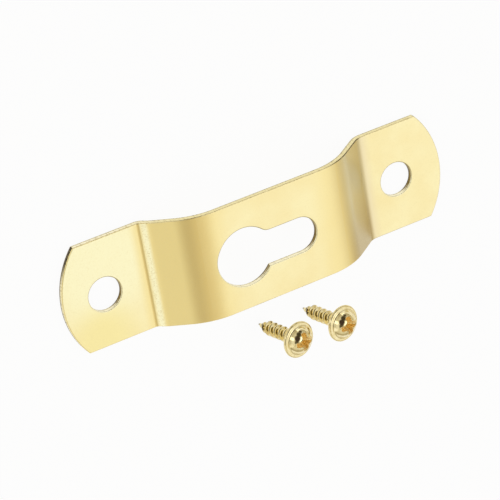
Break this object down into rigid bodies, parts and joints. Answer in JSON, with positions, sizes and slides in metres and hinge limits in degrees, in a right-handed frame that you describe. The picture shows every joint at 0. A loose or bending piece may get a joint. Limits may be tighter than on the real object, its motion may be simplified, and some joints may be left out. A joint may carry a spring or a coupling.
{
  "type": "keyhole hanger plate",
  "caption": "Bent brass-plated hanger strip with a round screw hole in each foot and a keyhole in its raised bridge, beside its loose washer-head screws.",
  "frame": {"origin": "on the wall face, midway between the screw holes", "axes": "+X along the plate towards the narrow end of the keyhole, +Y across the plate, +Z away from the wall"},
  "size_m": [0.0758, 0.0314, 0.0122],
  "materials": {
    "plated_strip": "satin",
    "plated_screw": "polished"
  },
  "bodies": {
    "plate": {"hanger_plate": "plated_strip"},
    "left_screw": {"screw_left": "plated_screw"},
    "right_screw": {"screw_right": "plated_screw"}
  },
  "joints": [
    {"name": "left_screw_lift", "type": "slide", "parent": "plate", "child": "left_screw", "axis": [0, 0, 1], "range_m": [0, 0.03]},
    {"name": "right_screw_lift", "type": "slide", "parent": "plate", "child": "right_screw", "axis": [0, 0, 1], "range_m": [0, 0.03]}
  ]
}
